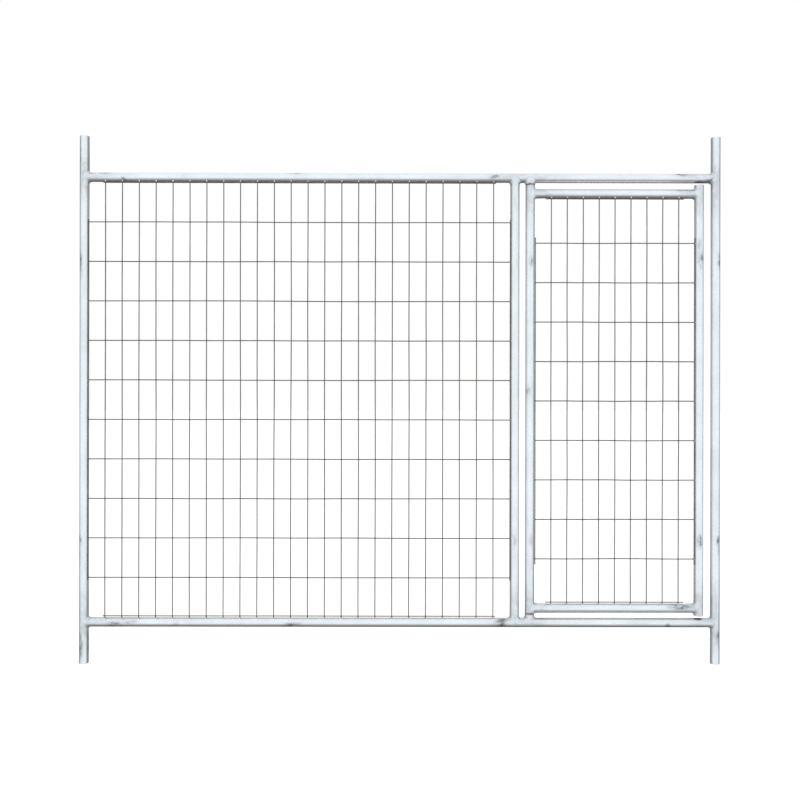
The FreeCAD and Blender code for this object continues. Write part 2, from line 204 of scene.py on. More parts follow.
# Stains and painted shade are broken up by a ragged pattern, down to a faintest share, and are rougher than
# clean zinc.
RAGGED_SCALE, RAGGED_RANGE, FAINTEST_STAIN_AND_SHADE, STAIN_AND_SHADE_ROUGHNESS = 85.0, (0.40, 0.58), 0.22, 0.25
COAT_SCALE, GRIT_SCALE = 55.0, 1400.0                # the coat's ripples and its fine grit
GRAIN_SQUEEZE, STAIN_AND_SHADE_SQUEEZE = 0.06, 0.35            # how far patterns are drawn out along the piece


def zinc(name, bright, dull, stain_and_shade_colour, along, shine=(0.24, 0.38), metallic=0.92):
    """Hot-dip zinc: clouded tone, faint crystals, streaks along the tube, grey stains and painted shade, and
    a lumpy coat.
    """
    look = Shading(name, metallic)
    grain = look.stretched(along, GRAIN_SQUEEZE)
    cloud = look.ramp(look.noise(CLOUD_SCALE, detail=5.0), *CLOUD_RANGE)
    streak = look.ramp(look.noise(STREAK_SCALE, detail=4.0, at=grain), *STREAK_RANGE)
    cell_values = {"Vector": look.place, "Scale": CRYSTAL_SCALE, "Randomness": 1.0}
    cells = look.node("ShaderNodeTexVoronoi", cell_values)
    crystal = look.node("ShaderNodeSeparateColor", {"Color": cells.outputs["Color"]}).outputs["Red"]
    tone = look.maths("ADD", look.maths("MULTIPLY", cloud, CLOUDS), look.maths("MULTIPLY", crystal, CRYSTALS))
    tone = look.maths("ADD", tone, look.maths("MULTIPLY", streak, STREAKS))
    colour = look.mix(tone, (*bright, 1), (*dull, 1))
    # One share per vertex for real marks and painted shade alike: it darkens the zinc towards the dark colour
    # and makes it rougher.
    stain_and_shade_share = look.node("ShaderNodeAttribute", attribute_name="stain_and_shade").outputs["Fac"]
    stain_and_shade_grain = look.stretched(along, STAIN_AND_SHADE_SQUEEZE)
    ragged = look.noise(RAGGED_SCALE, detail=6.0, roughness=0.68, at=stain_and_shade_grain)
    stain_and_shade_share = look.maths("MULTIPLY", stain_and_shade_share, look.ramp(ragged, *RAGGED_RANGE, FAINTEST_STAIN_AND_SHADE, 1.0))
    colour = look.mix(stain_and_shade_share, colour, (*stain_and_shade_colour, 1))
    look.link("Base Color", colour)
    rougher = look.maths("MULTIPLY", stain_and_shade_share, STAIN_AND_SHADE_ROUGHNESS)
    look.link("Roughness", look.maths("ADD", look.ramp(tone, 0.0, 1.0, *shine), rougher))
    coat = look.bump(look.noise(COAT_SCALE, detail=3.0, at=grain), strength=0.30, distance=0.6 * MM)
    grit = look.bump(look.noise(GRIT_SCALE, detail=2.0), strength=0.18, distance=0.06 * MM, onto=coat)
    look.link("Normal", grit)
    return look.material


TUBE_TONES = {"bright": (0.86, 0.89, 0.91), "dull": (0.72, 0.745, 0.765), "stain_and_shade_colour": (0.16, 0.17, 0.18)}
WIRE_TONES = {"bright": (0.26, 0.25, 0.22), "dull": (0.14, 0.135, 0.115), "stain_and_shade_colour": (0.08, 0.075, 0.065)}
WELD_TONES = {"bright": (0.84, 0.87, 0.89), "dull": (0.66, 0.685, 0.705), "stain_and_shade_colour": (0.14, 0.145, 0.15)}
# The pin is greased steel, and its colour is darkened further as painted shade of the narrow gap it turns in.
PIN_GREASE_AND_SHADE_TONES = {"bright": (0.20, 0.20, 0.20), "dull": (0.10, 0.095, 0.09), "stain_and_shade_colour": (0.05, 0.045, 0.04)}
WIRE_SHINE = (0.42, 0.6)   # roughness of the bright and the dull parts
materials = {
    "upright_tube": zinc("zinc_on_upright_tube", along="z", **TUBE_TONES),
    "level_tube": zinc("zinc_on_level_tube", along="x", **TUBE_TONES),
    "upright_wire": zinc("zinc_on_upright_wire", along="z", shine=WIRE_SHINE, **WIRE_TONES),
    "level_wire": zinc("zinc_on_cross_wire", along="x", shine=WIRE_SHINE, **WIRE_TONES),
    "weld": zinc("zinc_on_weld", along="y", shine=(0.32, 0.55), **WELD_TONES),
    "pin": zinc("turned_greased_steel_and_painted_shade", along="z", shine=(0.22, 0.4), metallic=1.0, **PIN_GREASE_AND_SHADE_TONES),
}


# ---------------------------------------------------------------- tubes

TEES = (
    # branch, its end at that tube (-1 low, 1 high), the tube it is welded to, weld node, body
    ("top_rail", -1, "left_post", "left_post_top_weld", "frame"),
    ("bottom_rail", -1, "left_post", "left_post_bottom_weld", "frame"),
    ("top_rail", 1, "right_post", "right_post_top_weld", "frame"),
    ("bottom_rail", 1, "right_post", "right_post_bottom_weld", "frame"),
    ("mullion_post", 1, "top_rail", "mullion_top_weld", "frame"),
    ("mullion_post", -1, "bottom_rail", "mullion_bottom_weld", "frame"),
    ("upper_hinge_stub", 1, "top_rail", "upper_stub_weld", "frame"),
    ("lower_hinge_stub", -1, "bottom_rail", "lower_stub_weld", "frame"),
    ("gate_top_rail", -1, "gate_hinge_stile", "hinge_stile_top_weld", "gate"),
    ("gate_bottom_rail", -1, "gate_hinge_stile", "hinge_stile_bottom_weld", "gate"),
    ("gate_top_rail", 1, "gate_latch_stile", "latch_stile_top_weld", "gate"),
    ("gate_bottom_rail", 1, "gate_latch_stile", "latch_stile_bottom_weld", "gate"),
)
LEVEL_TUBES = {"top_rail", "bottom_rail", "gate_top_rail", "gate_bottom_rail"}
coped_on = {(branch, end): main for branch, end, main, _weld, _body in TEES}


def crossing_of(branch, main):
    """The point where the axes of a branch and the tube it is welded to cross."""
    level, upright = (branch, main) if branch in LEVEL_TUBES else (main, branch)
    return Vector((middle(upright).x, 0, middle(level).z))


tee_points = [crossing_of(branch, main) for branch, _end, main, _weld, _body in TEES]

# Where panels rest on the packing timbers of a stack, the zinc has grey marks, this far inside each rail.
TIMBER_INSET = 0.315
lower_timber, upper_timber = middle("bottom_rail").z + TIMBER_INSET, middle("top_rail").z - TIMBER_INSET

# Marks on the tubes, and painted shade near the ends of the posts: node, place along the tube, way round from
# the front in degrees (towards +X on an upright tube, towards +Z on a level one), reach along the tube,
# strength. Places and reaches are in metres.
rail_left, rail_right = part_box("top_rail")[0].x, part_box("top_rail")[1].x
gate_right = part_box("gate_top_rail")[1].x
mullion_x = middle("mullion_post").x
MARKS_AND_PAINTED_SHADE = (
    ("left_post", upper_timber, -48, 0.024, 1.5), ("left_post", upper_timber - 0.040, -40, 0.030, 0.5),
    ("left_post", lower_timber, -48, 0.010, 1.8), ("left_post", lower_timber - 0.040, -48, 0.040, 0.5),
    # The marks on the next three lines are painted shade: the left post is darker near its foot and its top,
    # on its face and on both sides.
    ("left_post", 0.060, -25, 0.050, 0.8), ("left_post", 1.930, -48, 0.050, 0.5),
    ("left_post", 0.080, 98, 0.070, 1.2), ("left_post", 0.250, 100, 0.090, 0.6),
    ("left_post", 1.930, 100, 0.070, 0.7),
    ("mullion_post", lower_timber, -10, 0.022, 0.5), ("mullion_post", upper_timber, 30, 0.020, 0.4),
    ("gate_hinge_stile", upper_timber, 10, 0.020, 0.8), ("gate_hinge_stile", 1.035, -30, 0.016, 0.9),
    ("gate_hinge_stile", lower_timber, 10, 0.018, 0.5),
    ("gate_latch_stile", upper_timber, 5, 0.024, 1.7),
    ("gate_latch_stile", upper_timber + 0.050, -15, 0.030, 0.5),
    ("gate_latch_stile", lower_timber, 0, 0.018, 1.7),
    ("right_post", upper_timber, 47, 0.022, 1.6), ("right_post", lower_timber, 38, 0.011, 2.2),
    # The last mark on the next line, low on the right post, is painted shade near the ground.
    ("right_post", lower_timber - 0.035, 38, 0.030, 0.5), ("right_post", 0.110, 30, 0.035, 0.6),
    ("top_rail", rail_left + 0.080, 60, 0.016, 1.3), ("top_rail", rail_left + 0.150, -40, 0.007, 1.4),
    ("top_rail", mullion_x - 0.080, 5, 0.014, 1.0), ("top_rail", mullion_x - 0.830, 70, 0.030, 0.9),
    ("top_rail", rail_right - 0.125, 55, 0.034, 1.4), ("top_rail", rail_right - 0.030, -45, 0.030, 1.0),
    ("bottom_rail", rail_left + 0.115, -22, 0.024, 1.7), ("bottom_rail", rail_left + 0.180, 10, 0.020, 0.6),
    ("bottom_rail", rail_left + 0.350, -10, 0.007, 1.0), ("bottom_rail", mullion_x - 0.840, -25, 0.030, 1.4),
    ("bottom_rail", mullion_x - 0.060, -25, 0.018, 1.9), ("bottom_rail", mullion_x - 0.045, 40, 0.030, 0.8),
    ("bottom_rail", rail_right - 0.180, -30, 0.008, 1.4),
    ("gate_top_rail", gate_right - 0.050, 50, 0.040, 0.8),
    ("gate_bottom_rail", gate_right - 0.075, 30, 0.032, 1.2),
)
MARK_HALF_ANGLE = 30       # degrees that a mark reaches round the tube
WELD_STAIN, WELD_STAIN_REACH = 0.30, 0.070
HINGE_GAP_SHADE, HINGE_GAP_SHADE_REACH = 1.4, 3.0 * MM  # painted shade: a dark ring beside each hinge face, where the gap between the two tubes is in shade
FADED_OUT = 3              # a mark or stain is left out beyond this many times its reach
# The lowest tubes, which are darker underneath with painted shade:
SHADED_UNDERNEATH = ("bottom_rail", "gate_bottom_rail")
UNDERSIDE_SHADE = 0.45     # painted shade on the lowest tubes, on the side that faces the ground

stile_low, stile_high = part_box("gate_hinge_stile")
HINGE_FACES = (
    ("upper_hinge_stub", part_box("upper_hinge_stub")[0].z), ("gate_hinge_stile", stile_high.z),
    ("lower_hinge_stub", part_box("lower_hinge_stub")[1].z), ("gate_hinge_stile", stile_low.z),
)


def stain_and_shade_at(node, point, angle):
    """How far a point on a tube's skin is darkened, from 0 to 1: packing marks and other marks, painted shade
    near the ends of the posts, painted shade on the undersides of the lowest tubes, smoke by the welds, and
    painted shade beside each hinge face.
    """
    total = 0.0
    along = point.x if node in LEVEL_TUBES else point.z
    for marked, place, side, reach, strength in MARKS_AND_PAINTED_SHADE:
        if marked == node and abs(along - place) < FADED_OUT * reach:
            turn = (math.degrees(angle) - side + 180) % 360 - 180
            total += strength * math.exp(-((along - place) / reach) ** 2 - (turn / MARK_HALF_ANGLE) ** 2)
    # Painted shade on the side that faces the ground.
    if node in SHADED_UNDERNEATH:
        total += UNDERSIDE_SHADE * max(-math.sin(angle), 0.0) ** 2
    near = min((point - tee).length for tee in tee_points) - TUBE_RADIUS
    if near < FADED_OUT * WELD_STAIN_REACH:
        total += WELD_STAIN * math.exp(-(max(near, 0.0) / WELD_STAIN_REACH) ** 2)
    # Painted shade beside each hinge face, in the gap between the turning tubes.
    for hinge_node, hinge_z in HINGE_FACES:
        if hinge_node == node:
            total += HINGE_GAP_SHADE * math.exp(-((point.z - hinge_z) / HINGE_GAP_SHADE_REACH) ** 2)
    return min(total, 1.0)


def tube(node, body):
    """A hollow tube with sawn or coped ends, as one closed skin: outside up, bore down."""
    level = node in LEVEL_TUBES
    centre, (low, high) = middle(node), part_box(node)
    along, across = (X, Z) if level else (Z, X)
    angles = circle(TUBE_SIDES)
    # The angle is 0 at the front, -Y, and grows towards +X on an upright tube and towards +Z on a level one.
    sideways, depth = np.sin(angles), -np.cos(angles)

    def end(which, radius):
        main = coped_on.get((node, which))
        if main is None:
            return np.full(TUBE_SIDES, (high if which > 0 else low).dot(along))
        reach = np.sqrt((TUBE_RADIUS + FIT_UP_GAP) ** 2 - (radius * depth) ** 2)
        return middle(main).dot(along) - which * reach

    def ring(radius, stations):
        base = Vector((0, 0, centre.z)) if level else Vector((centre.x, 0, 0))
        return (np.array(base) + np.outer(stations, along) + np.outer(radius * sideways, across)
                + np.outer(radius * depth, Y))

    def edge(which):
        """Rings over the tube's end, from the outside to the bore; a sawn end is rounded over."""
        if (node, which) in coped_on:
            return [ring(radius, end(which, radius)) for radius in (TUBE_RADIUS, BORE_RADIUS)]
        steps = np.linspace(0, math.pi / 2, END_STEPS)
        worn = HINGE_EDGE if "hinge" in node else SAW_EDGE
        lip = [(TUBE_RADIUS - worn * (1 - math.cos(a)), worn * (1 - math.sin(a))) for a in steps]
        lip += [(BORE_RADIUS + SAW_EDGE * (1 - math.cos(a)), SAW_EDGE * (1 - math.sin(a)))
                for a in steps[::-1]]
        return [ring(radius, end(which, radius) - which * back) for radius, back in lip]

    start, stop = end(-1, TUBE_RADIUS), end(1, TUBE_RADIUS)
    bands = max(2, round((stop.mean() - start.mean()) / RING_PITCH))
    between = [start + (stop - start) * share for share in np.linspace(0, 1, bands + 1)[1:-1]]
    after_start = [] if (node, -1) in coped_on else [start + back * MM for back in END_RINGS]
    before_stop = [] if (node, 1) in coped_on else [stop - back * MM for back in END_RINGS[::-1]]
    outside = [ring(TUBE_RADIUS, stations) for stations in after_start + between + before_stop]
    for points in outside:
        for row, angle in zip(points, angles):
            lumps = Vector(place * rate for place, rate in zip(Vector(row), LUMPS_PER_METRE))
            lump = ZINC_LUMP * noise.noise(lumps + centre * OWN_LUMPS)
            row += lump * (math.sin(angle) * np.array(across) - math.cos(angle) * np.array(Y))
    rings = outside + edge(1) + edge(-1)[::-1]
    stain_and_shade = [stain_and_shade_at(node, Vector(row), angle) for points in rings for row, angle in zip(points, angles)]
    skin = Skin()
    skin.add_rings(rings, loop=True, stain_and_shade=stain_and_shade)
    kind = "level_tube" if level else "upright_tube"
    skin.make(f"{node}_tube", body, node, materials[kind])


FRAME_TUBES = ("left_post", "right_post", "top_rail", "bottom_rail", "mullion_post", "upper_hinge_stub",
               "lower_hinge_stub")
GATE_TUBES = ("gate_hinge_stile", "gate_latch_stile", "gate_top_rail", "gate_bottom_rail")
for node in FRAME_TUBES:
    tube(node, "frame")
for node in GATE_TUBES:
    tube(node, "gate")


# ---------------------------------------------------------------- weld beads

# Where a number has two values, the first is at the front and back of the joint, where the bead is ground
# flush, and the second is what the square corners add to it.
BEAD_STATIONS = 252        # rings round the joint
BEAD_ACROSS = np.linspace(-1, 1, 11)
BEAD_HALF_WIDTH = (6.0, 1.4)      # mm
BEAD_HOLLOW = (0.2, 6.6)   # mm, radius of the hollow that the bead makes between the two tubes
BEAD_CROWN = 0.9 * MM      # how far it bulges in the square corners
BEAD_TOE_SINK = 0.25 * MM  # its edges run under the tubes' skins,
FLUSH_SINK = 0.22 * MM     # and so does the whole bead at the front and back
BEAD_ROOT = 1.2 * MM       # depth of its closed underside in the tube walls
BEAD_ROOT_ACROSS = (0.6, 0.0, -0.6)
BEAD_CORNER_SHADE = (0.45, 0.4)   # painted shade on the bead, strongest in its square corners: at the middle, and what the edges add
RIPPLE_HEIGHT = 0.12 * MM
RIPPLES = 38               # round the joint
RIPPLE_BEND = 0.05         # how far the ripples bow along the bead
HAND_TURNS, HAND_PLACE = 4, (9, 5)   # how quickly the hand wanders, round a joint and between joints,
HAND_WIDTH, HAND_CROWN, HAND_RIPPLE = 0.10, 0.25, 1.5    # and what that does to the bead
APEX_ROUNDING = 12 * MM    # rounding of the seam's points at the front and back,
APEX_SETBACK = 0.6         # and the share of it by which they come back towards the joint
PROJECT_FROM = 2           # mm above the seam, where each point of the bead starts,
PROJECT_STEPS = 8          # and the Newton steps that bring it down to the bead's skin,
SLOPE_STEP = 1e-5          # with the slope found over this distance each way
FLATTEST = 0.05            # keeps a step short where the slope nearly vanishes
DRESSED_BACK = 0.1 * MM    # a bead stops this far short of a free tube end,
HINGE_CLEAR = 0.3 * MM     # and this far short of a hinge face


def weld_bead(branch, end, main, node, body, point):
    """A ribbed fillet round a coped tube. Its skin is a blend of both tubes' skins, raised along the seam."""
    away = (X if branch in LEVEL_TUBES else Z) * -end
    up = Z if branch in LEVEL_TUBES else X
    turn = np.linspace(0, 2 * math.pi, BEAD_STATIONS, endpoint=False)
    flank = np.abs(np.cos(turn))  # 1 in the square corners, 0 where both tubes face the same way

    # Local coordinates: away from the main tube, y, and along the main tube.
    rounded = np.sqrt((TUBE_RADIUS * np.cos(turn)) ** 2 + APEX_ROUNDING ** 2)
    seam = np.stack([
        rounded - APEX_SETBACK * APEX_ROUNDING * (1 - flank),
        TUBE_RADIUS * np.sin(turn),
        TUBE_RADIUS * np.cos(turn)], axis=1)

    def unit(rows):
        return rows / np.linalg.norm(rows, axis=-1, keepdims=True)

    def skins(rows):
        main_skin = np.hypot(rows[..., 0], rows[..., 1]) - TUBE_RADIUS
        branch_skin = np.hypot(rows[..., 2], rows[..., 1]) - TUBE_RADIUS
        return main_skin, branch_skin

    def blended(rows):
        """Distance from the two tubes' common skin, with a hollow of its own radius at each station."""
        first, second = skins(rows)
        inside = np.maximum(hollow - first, 0) ** 2 + np.maximum(hollow - second, 0) ** 2
        return np.maximum(hollow, np.minimum(first, second)) - np.sqrt(inside)

    normal = unit(unit(seam * (1, 1, 0)) + unit(seam * (0, 1, 1)))
    forward = unit(np.roll(seam, -1, axis=0) - np.roll(seam, 1, axis=0))
    sideways = unit(np.cross(forward, normal))
    hollow = (BEAD_HOLLOW[0] + BEAD_HOLLOW[1] * flank) * MM
    hand_place = point.x * HAND_PLACE[0] + point.z * HAND_PLACE[1]
    wander = np.array([noise.noise(Vector((HAND_TURNS * math.cos(a), HAND_TURNS * math.sin(a), hand_place)))
                       for a in turn])
    half_width = (BEAD_HALF_WIDTH[0] + BEAD_HALF_WIDTH[1] * flank) * MM * (1 + HAND_WIDTH * wander)

    rings = []
    for share in BEAD_ACROSS:
        rows = seam + sideways * (half_width * share)[:, None] + normal * PROJECT_FROM * MM
        ripple = RIPPLE_HEIGHT * np.cos(RIPPLES * (turn + RIPPLE_BEND * share ** 2) + HAND_RIPPLE * wander)
        crown = BEAD_CROWN * flank * (1 + HAND_CROWN * wander)
        height = (1 - share ** 2) * (crown + ripple * flank) - BEAD_TOE_SINK * share ** 4
        height = height - FLUSH_SINK * (1 - flank) ** 2
        for _ in range(PROJECT_STEPS):
            slope = np.stack([(blended(rows + step) - blended(rows - step)) / (2 * SLOPE_STEP)
                              for step in np.eye(3) * SLOPE_STEP], axis=1)
            steepness = np.maximum((slope ** 2).sum(1), FLATTEST)
            rows = rows - ((blended(rows) - height) / steepness)[:, None] * slope
        rings.append(rows)
    for share in BEAD_ROOT_ACROSS:
        rings.append(seam + sideways * (half_width * share)[:, None] - normal * BEAD_ROOT)

    points = np.stack(rings, axis=1)
    world = (np.array(point) + points[..., 0:1] * np.array(away) + points[..., 1:2] * np.array(Y)
             + points[..., 2:3] * np.array(up))
    heights = world[..., 2]
    if branch in LEVEL_TUBES:
        low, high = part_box(main)
        world[..., 2] = np.clip(heights, low.z + DRESSED_BACK, high.z - DRESSED_BACK)
    elif end > 0:
        world[..., 2] = np.maximum(heights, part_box(branch)[0].z + HINGE_CLEAR)
    else:
        world[..., 2] = np.minimum(heights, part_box(branch)[1].z - HINGE_CLEAR)
    skin = Skin()
    # Painted shade on the bead, strongest in the square corners between the two tubes and at its edges.
    across_shade = BEAD_CORNER_SHADE[0] + BEAD_CORNER_SHADE[1] * np.abs(BEAD_ACROSS) ** 3
    across_shade = np.append(across_shade, np.zeros(len(BEAD_ROOT_ACROSS)))
    skin.add_rings(list(world), loop=True, stain_and_shade=list(np.outer(flank ** 2, across_shade).ravel()))
    skin.make(f"{node}_bead", body, node, materials["weld"])


for (branch, end, main, node, body), point in zip(TEES, tee_points):
    weld_bead(branch, end, main, node, body, point)


# ---------------------------------------------------------------- wire mesh

WIRE_SIDES = 12
EMBED = 1.0 * MM           # a full wire's end runs this far into the tube wall
PRESSED = 0.35 * MM        # how far two wires are pressed into each other where they are welded,
PRESS_REACH = 3.2 * MM     # and how far along the wire that is felt
SHEET_BOW = 1.3 * MM       # how far the sheet bulges to the front or back between the tubes,
BOW_ACROSS, BOW_UP = 2.3, 2.9     # in how many half waves each way,
BOW_FADE = 0.6             # and how quickly it dies out at the tubes (a smaller power is quicker)
SWAY = 1.0 * MM            # how far a wire wanders sideways between its ends
SWAY_FADE = 0.7
# The wander's slow and quick waves: range of size, as a share of SWAY, and range of the number of half waves.
SWAY_WAVES = (((0.5, 1.0), (1.2, 2.4)), ((0.1, 0.4), (4, 9)))
EDGE_WIRE_SIZE, EDGE_WIRE_TURNS = 0.15, 3.0          # the same for a short edge wire
CROSSING_STEPS = np.array([-9, -4, -2, 0, 2, 4, 9]) * MM  # points on a wire near each crossing,
SPAN_STEPS, LONG_SPAN = (0.3, 0.5, 0.7), 40 * MM     # and between two crossings that are far enough apart
SAME_WIRE = 10 * MM        # vertices closer together than this, side by side, belong to one wire
DARKEST_WIRE = 0.55        # the most that one wire is stained all over
WIRE_LUMP, WIRE_LUMPS = 0.03, 60  # how far the radius varies, as a share, and how quickly
SHEARED_WIDTH, SHEARED_LENGTH = 0.72, 0.6 * MM       # of the tip of a cut wire


def bars(node, axis):
    """The boxes of a node's separate wires, which lie side by side along an axis (0 for x, 2 for z)."""
    rows = np.array([vertex.co for vertex in frame["nodes"][node].data.vertices])
    rows = rows[np.argsort(rows[:, axis])]
    breaks = np.flatnonzero(np.diff(rows[:, axis]) > SAME_WIRE) + 1
    return [(group.min(0), group.max(0)) for group in np.split(rows, breaks)]


class Wire:
    """One straight drawn wire of the sheet, with its own small wander."""

    def __init__(self, box, axis, embedded):
        low, high = box
        self.axis = axis                      # 0 for a cross wire, 2 for an upright one
        self.other = 2 - axis
        self.radius = (high[self.other] - low[self.other]) / 2
        self.start, self.stop = low[axis], high[axis]
        if embedded:
            self.start, self.stop = self.start - EMBED, self.stop + EMBED
        self.level = (low[self.other] + high[self.other]) / 2
        self.depth = high[1] - self.radius
        self.embedded = embedded
        self.waves = [(random.uniform(*size), random.uniform(*turns), random.uniform(0, math.tau))
                      for size, turns in SWAY_WAVES]

    def offset(self, at):
        """Sideways wander at a distance along the wire, none at its welded ends."""
        share = np.clip((at - self.start) / (self.stop - self.start), 0, 1)
        wave = sum(size * np.sin(turns * math.pi * share + phase) for size, turns, phase in self.waves)
        return SWAY * wave * np.sin(math.pi * share) ** SWAY_FADE

    def side(self, at):
        return self.level + self.offset(at)


class Sheet:
    """One welded mesh sheet: its wires, how it bulges, and where its wires cross."""

    def __init__(self, prefix, body):
        self.prefix, self.body = prefix, body
        self.uprights = [Wire(box, 2, True) for box in bars(f"{prefix}_upright_wires", 0)]
        self.crosses = [Wire(box, 0, True) for box in bars(f"{prefix}_cross_wires", 2)]
        self.side_edges = [Wire(box, 2, False) for box in bars(f"{prefix}_side_edge_wires", 0)]
        self.end_edges = [Wire(box, 0, False) for box in bars(f"{prefix}_end_edge_wires", 2)]
        for wire in self.side_edges + self.end_edges:
            wire.waves = [(EDGE_WIRE_SIZE, EDGE_WIRE_TURNS, random.uniform(0, math.tau))]
        self.left, self.right = (wire.level for wire in self.side_edges)
        self.bottom, self.top = (wire.level for wire in self.end_edges)
        self.phase = random.uniform(0, math.tau)

    def bulge(self, x, z):
        """How far the sheet stands behind its flat plane, none at the tubes."""
        across = np.clip((x - self.left) / (self.right - self.left), 0, 1)
        up = np.clip((z - self.bottom) / (self.top - self.bottom), 0, 1)
        waves_across = np.sin(BOW_ACROSS * math.pi * across + self.phase)
        shape = waves_across * np.cos(BOW_UP * math.pi * up + 2 * self.phase)
        return SHEET_BOW * shape * np.sin(math.pi * across) ** BOW_FADE * np.sin(math.pi * up) ** BOW_FADE

    def crossing_wires(self, wire):
        others = self.crosses + self.end_edges if wire.axis == 2 else self.uprights + self.side_edges
        return [other for other in others if other.start < wire.level < other.stop
                and wire.start < other.level < wire.stop]

    def path(self, wire):
        """Points along a wire, closer together near each crossing, where it is pressed into the other."""
        knots = [other.level for other in self.crossing_wires(wire)]
        near = [knot + step for knot in knots for step in CROSSING_STEPS]
        ends = sorted([wire.start, *knots, wire.stop])
        between = [low + (high - low) * share for low, high in zip(ends, ends[1:])
                   for share in SPAN_STEPS if high - low > LONG_SPAN]
        at = np.clip([wire.start, wire.stop, *near, *between], wire.start, wire.stop)
        at = np.unique(np.round(at, 5))
        side = wire.side(at)
        x, z = (side, at) if wire.axis == 2 else (at, side)
        forward = 1 if wire.axis == 2 else -1  # the uprights lie in front, so they are pressed back
        dip = sum(np.exp(-((at - knot) / PRESS_REACH) ** 2) for knot in knots) if knots else 0 * at
        y = wire.depth + self.bulge(x, z) + forward * PRESSED * dip
        return np.stack([x, y, z], axis=1)

    def add_wire(self, skin, wire):
        path = self.path(wire)
        angles = circle(WIRE_SIDES)
        along = np.array(Z if wire.axis == 2 else X)
        across = np.array(X if wire.axis == 2 else Z)
        tone = random.uniform(0.0, DARKEST_WIRE)
        rings = []
        for row in path:
            radius = wire.radius * (1 + WIRE_LUMP * noise.noise(Vector(row) * WIRE_LUMPS))
            rings.append(row + radius * (np.outer(np.sin(angles), across) - np.outer(np.cos(angles), Y)))
        if not wire.embedded:  # a sheared end, dressed by the zinc
            for tip, way in ((rings[0], -1), (rings[-1], 1)):
                centre = tip.mean(0)
                cap = centre + (tip - centre) * SHEARED_WIDTH + along * way * SHEARED_LENGTH
                rings = [cap, *rings] if way < 0 else [*rings, cap]
        skin.add_rings(rings, stain_and_shade=[tone] * (len(rings) * WIRE_SIDES))

    def crossings(self):
        """Every place where two wires are welded, as points between them."""
        found = []
        for upright in self.uprights + self.side_edges:
            for cross in self.crossing_wires(upright):
                x, z = upright.side(cross.level), cross.side(upright.level)
                y = (upright.depth + cross.depth) / 2 + self.bulge(x, z)
                found.append(Vector((x, y, z)))
        return found

    def build(self):
        parts = (
            ("upright_wires", self.uprights, "upright_wire"),
            ("cross_wires", self.crosses, "level_wire"),
            ("side_edge_wires", self.side_edges, "upright_wire"),
            ("end_edge_wires", self.end_edges, "level_wire"),
        )
        for suffix, wires, kind in parts:
            skin = Skin()
            for wire in wires:
                self.add_wire(skin, wire)
            if suffix == "cross_wires":
                for point in self.crossings():
                    add_nugget(skin, point, CROSSING_NUGGET, CROSSING_STAIN)
            node = f"{self.prefix}_{suffix}"
            skin.make(f"{node}_drawn", self.body, node, materials[kind])
        self.build_tacks()

    def build_tacks(self):
        """A blob of zinc-covered weld where each full wire runs onto a tube."""
        skin = Skin()
        for wire in self.uprights + self.crosses:
            for at, way in ((wire.start + EMBED, -1), (wire.stop - EMBED, 1)):
                x, z = (wire.level, at) if wire.axis == 2 else (at, wire.level)
                centre = Vector((x, wire.depth - TACK_FORWARD, z))
                long, wide = random.uniform(*TACK_LONG) * MM, random.uniform(*TACK_WIDE) * MM
                size = (wide, TACK_DEEP, long) if wire.axis == 2 else (long, TACK_DEEP, wide)
                add_nugget(skin, centre, size, 0.0, lumpy=TACK_LUMP)
        node = f"{self.prefix}_tack_welds"
        skin.make(f"{node}_zinc", self.body, node, materials["weld"])


NUGGET_SIDES, NUGGET_RINGS = 12, 7
NUGGET_LUMP, NUGGET_LUMPS = 0.10, 1.3       # how uneven a blob is, as a share, and how quickly it varies,
NUGGET_APART = 90                           # and what makes one blob differ from the next
CROSSING_NUGGET, CROSSING_STAIN = (3.1 * MM, 2.3 * MM, 3.1 * MM), 0.3    # half sizes
TACK_LONG, TACK_WIDE = (3.4, 4.4), (3.0, 3.6)        # mm, half sizes along and across the wire
TACK_DEEP, TACK_FORWARD, TACK_LUMP = 3.4 * MM, 0.8 * MM, 0.16


def add_nugget(skin, centre, size, stain_and_shade, lumpy=NUGGET_LUMP):
    """A small closed blob, slightly uneven, with its poles at its front and back."""
    points, faces = [], []
    seed = centre * NUGGET_APART
    polar = np.linspace(0, math.pi, NUGGET_RINGS + 2)[1:-1]
    for tilt in polar:
        for angle in circle(NUGGET_SIDES):
            out = math.sin(tilt)
            way = Vector((out * math.cos(angle), -math.cos(tilt), out * math.sin(angle)))
            reach = 1 + lumpy * noise.noise(seed + way * NUGGET_LUMPS)
            points.append(centre + Vector(w * s * reach for w, s in zip(way, size)))
    front, back = len(points), len(points) + 1
    points += [centre - Y * size[1], centre + Y * size[1]]
    for row in range(NUGGET_RINGS - 1):
        for side in range(NUGGET_SIDES):
            after = (side + 1) % NUGGET_SIDES
            here, there = row * NUGGET_SIDES, (row + 1) * NUGGET_SIDES
            faces.append((here + side, here + after, there + after, there + side))
    last = (NUGGET_RINGS - 1) * NUGGET_SIDES
    for side in range(NUGGET_SIDES):
        after = (side + 1) % NUGGET_SIDES
        faces.append((front, after, side))
        faces.append((back, last + side, last + after))
    skin.add(points, faces, [stain_and_shade] * len(points))


Sheet("panel_mesh", "frame").build()
Sheet("gate_mesh", "gate").build()


# ---------------------------------------------------------------- hinge pins

PIN_SIDES = 48
PIN_CHAMFER = 1.5 * MM
# Painted shade of the narrow gap round the pin, on top of the darker greased steel.
PIN_GREASE_AND_SHADE = 0.5
GROOVE_PLACES = (0.35, 0.65)      # shares of the pin's length
GROOVE_DEPTH = 0.6 * MM
GROOVE_TOP, GROOVE_FLOOR = 2 * MM, 1 * MM    # half widths


